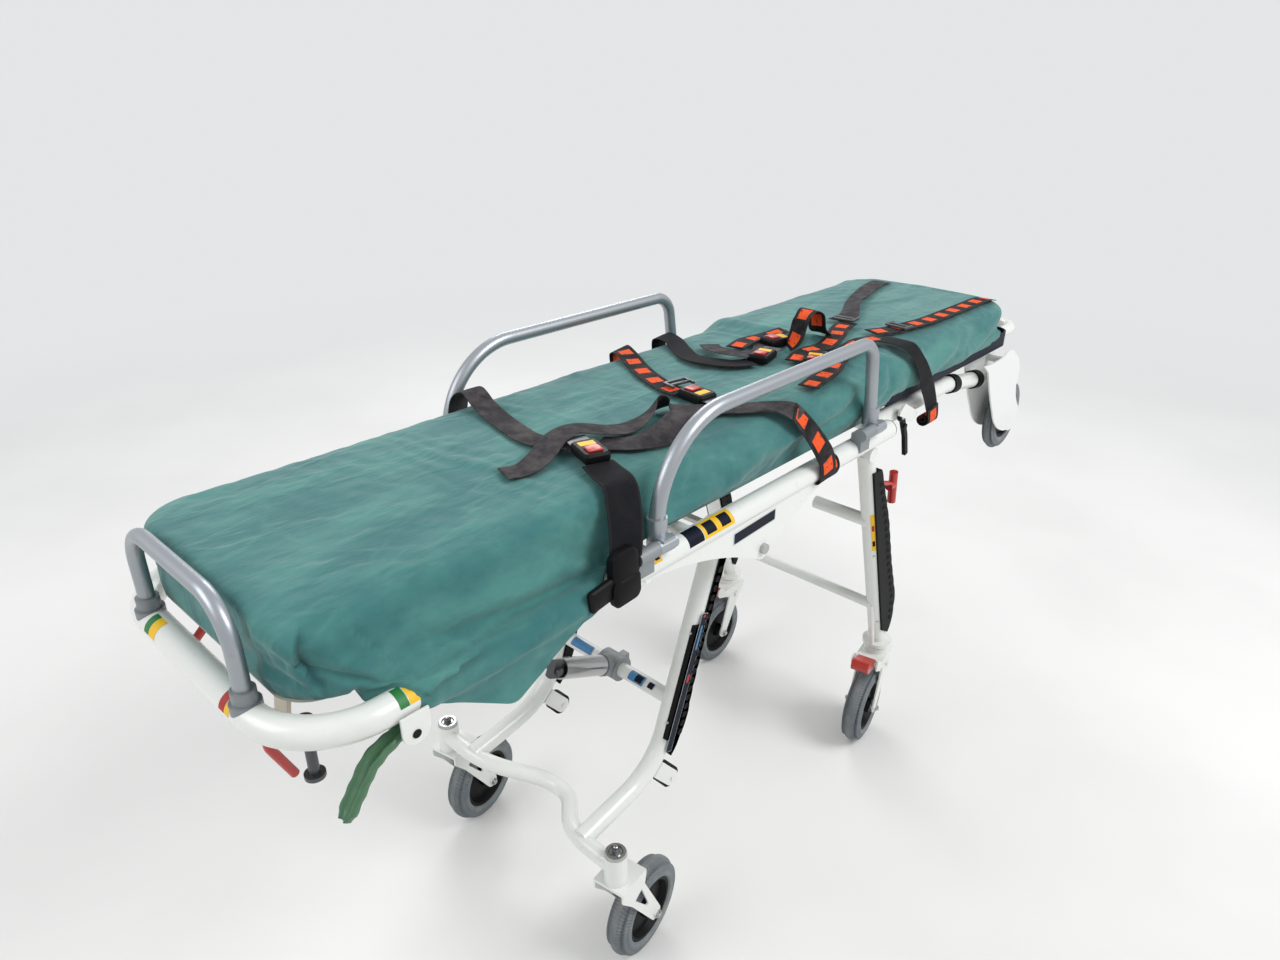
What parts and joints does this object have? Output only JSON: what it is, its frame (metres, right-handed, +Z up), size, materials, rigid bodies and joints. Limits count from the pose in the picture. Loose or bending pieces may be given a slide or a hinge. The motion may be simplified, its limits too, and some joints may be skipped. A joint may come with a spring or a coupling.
{
  "type": "ambulance stretcher",
  "caption": "Wheeled self-loading stretcher: padded bed with tilting backrest and drop-down side guards on folding legs with swivel casters, and loading wheels at the head.",
  "frame": {"origin": "on the floor under the middle of the whole stretcher", "axes": "+X toward the head end, +Y toward its left side, +Z up"},
  "size_m": [2.235, 0.6102, 1.141],
  "materials": {
    "black_plastic": "matt",
    "black_rubber": "ribbed",
    "bright_steel": "brushed",
    "dark_steel": "dark oxide",
    "grey_casting": "painted casting",
    "grey_tyre": "worn grey rubber",
    "navy_plastic": "moulded",
    "red_plastic": "moulded",
    "satin_tube": "satin anodised",
    "sheet_cloth": "thin non-woven sheet",
    "white_paint": "gloss powder coat",
    "white_plastic": "moulded, slight gloss"
  },
  "bodies": {
    "root": {"back_hinge_pin": "bright_steel", "cross_tubes": "white_paint", "docking_stud": "white_paint", "foot_handle": "satin_tube", "foot_leg_shaft": "bright_steel", "foot_loop": "white_paint", "guard_mounts": "grey_casting", "gusset_left": "white_paint", "gusset_right": "white_paint", "handle_sockets": "grey_casting", "head_latch": "white_paint", "head_leg_lugs": "white_paint", "latch_lever": "black_plastic", "levers_red": "red_plastic", "load_collars": "black_rubber", "load_cover_left": "white_plastic", "load_cover_right": "white_plastic", "load_tubes": "white_paint", "mattress_fold": "sheet_cloth", "mattress_seat": "sheet_cloth", "rail_left": "white_paint", "rail_right": "white_paint", "seat_panel": "black_plastic"},
    "backrest": {"back_hinge_leaves": "bright_steel", "back_loop": "white_paint", "back_tray": "navy_plastic", "mattress_back": "sheet_cloth"},
    "guard_right": {"guard_right": "satin_tube"},
    "guard_left": {"guard_left": "satin_tube"},
    "head_legs": {"head_leg_frame": "white_paint", "head_leg_strips": "black_rubber", "head_t_grip": "red_plastic"},
    "foot_legs": {"foot_leg_frame": "white_paint", "foot_leg_strips": "black_rubber", "roller_blocks": "white_paint", "roller_tyres": "black_rubber"},
    "lock_strut": {"strut_clamp": "grey_casting", "strut_eye": "dark_steel", "strut_sleeve": "bright_steel"},
    "head_fork_right": {"head_fork_right": "white_paint", "head_pedal_right": "red_plastic"},
    "head_wheel_right": {"head_hub_right": "black_plastic", "head_tyre_right": "grey_tyre"},
    "head_fork_left": {"head_fork_left": "white_paint", "head_pedal_left": "red_plastic"},
    "head_wheel_left": {"head_hub_left": "black_plastic", "head_tyre_left": "grey_tyre"},
    "foot_fork_right": {"foot_fork_right": "white_paint"},
    "foot_wheel_right": {"foot_hub_right": "black_plastic", "foot_tyre_right": "grey_tyre"},
    "foot_fork_left": {"foot_fork_left": "white_paint"},
    "foot_wheel_left": {"foot_hub_left": "black_plastic", "foot_tyre_left": "grey_tyre"},
    "load_wheel_right": {"load_hub_right": "black_plastic", "load_tyre_right": "grey_tyre"},
    "load_wheel_left": {"load_hub_left": "black_plastic", "load_tyre_left": "grey_tyre"}
  },
  "joints": [
    {"name": "foot_legs_fold", "type": "hinge", "parent": "root", "child": "foot_legs", "pos_m": [-0.199, 0, 0.809], "axis": [0, 1, 0], "range_deg": [0, 54.5]},
    {"name": "head_legs_fold", "type": "hinge", "parent": "root", "child": "head_legs", "pos_m": [0.219, 0, 0.858], "axis": [0, 1, 0], "range_deg": [0, 76]},
    {"name": "strut_pivot", "type": "hinge", "parent": "foot_legs", "child": "lock_strut", "pos_m": [-0.3193, 0, 0.469], "axis": [0, 1, 0], "range_deg": [-69, 0]},
    {"name": "backrest_tilt", "type": "hinge", "parent": "root", "child": "backrest", "pos_m": [0.297, 0, 0.934], "axis": [0, -1, 0], "range_deg": [0, 75], "deforming": ["mattress_fold"]},
    {"name": "guard_right_drop", "type": "hinge", "parent": "root", "child": "guard_right", "pos_m": [0, -0.285, 0.943], "axis": [1, 0, 0], "range_deg": [0, 175]},
    {"name": "guard_left_drop", "type": "hinge", "parent": "root", "child": "guard_left", "pos_m": [0, 0.285, 0.943], "axis": [-1, 0, 0], "range_deg": [0, 175]},
    {"name": "head_swivel_right", "type": "hinge", "parent": "head_legs", "child": "head_fork_right", "pos_m": [0.4106, -0.243, 0.262], "axis": [0, 0, 1], "continuous": true},
    {"name": "head_roll_right", "type": "hinge", "parent": "head_fork_right", "child": "head_wheel_right", "pos_m": [0.35348, -0.25307, 0.1], "axis": [0.1736, -0.9848, 0], "continuous": true},
    {"name": "head_swivel_left", "type": "hinge", "parent": "head_legs", "child": "head_fork_left", "pos_m": [0.4106, 0.243, 0.262], "axis": [0, 0, 1], "continuous": true},
    {"name": "head_roll_left", "type": "hinge", "parent": "head_fork_left", "child": "head_wheel_left", "pos_m": [0.35264, 0.24098, 0.1], "axis": [0.0349, -0.9994, 0], "continuous": true},
    {"name": "foot_swivel_right", "type": "hinge", "parent": "foot_legs", "child": "foot_fork_right", "pos_m": [-0.5746, -0.254, 0.262], "axis": [0, 0, 1], "continuous": true},
    {"name": "foot_roll_right", "type": "hinge", "parent": "foot_fork_right", "child": "foot_wheel_right", "pos_m": [-0.48944, -0.24203, 0.1], "axis": [-0.1392, 0.9903, 0], "continuous": true},
    {"name": "foot_swivel_left", "type": "hinge", "parent": "foot_legs", "child": "foot_fork_left", "pos_m": [-0.5746, 0.254, 0.262], "axis": [0, 0, 1], "continuous": true},
    {"name": "foot_roll_left", "type": "hinge", "parent": "foot_fork_left", "child": "foot_wheel_left", "pos_m": [-0.49048, 0.27188, 0.1], "axis": [-0.2079, 0.9781, 0], "continuous": true},
    {"name": "load_roll_right", "type": "hinge", "parent": "root", "child": "load_wheel_right", "pos_m": [1.02, -0.236, 0.722], "axis": [0, 1, 0], "continuous": true},
    {"name": "load_roll_left", "type": "hinge", "parent": "root", "child": "load_wheel_left", "pos_m": [1.02, 0.236, 0.722], "axis": [0, 1, 0], "continuous": true}
  ],
  "couplings": [
    {"joint": "strut_pivot", "follows": "foot_legs_fold", "ratio": -1.2625}
  ]
}
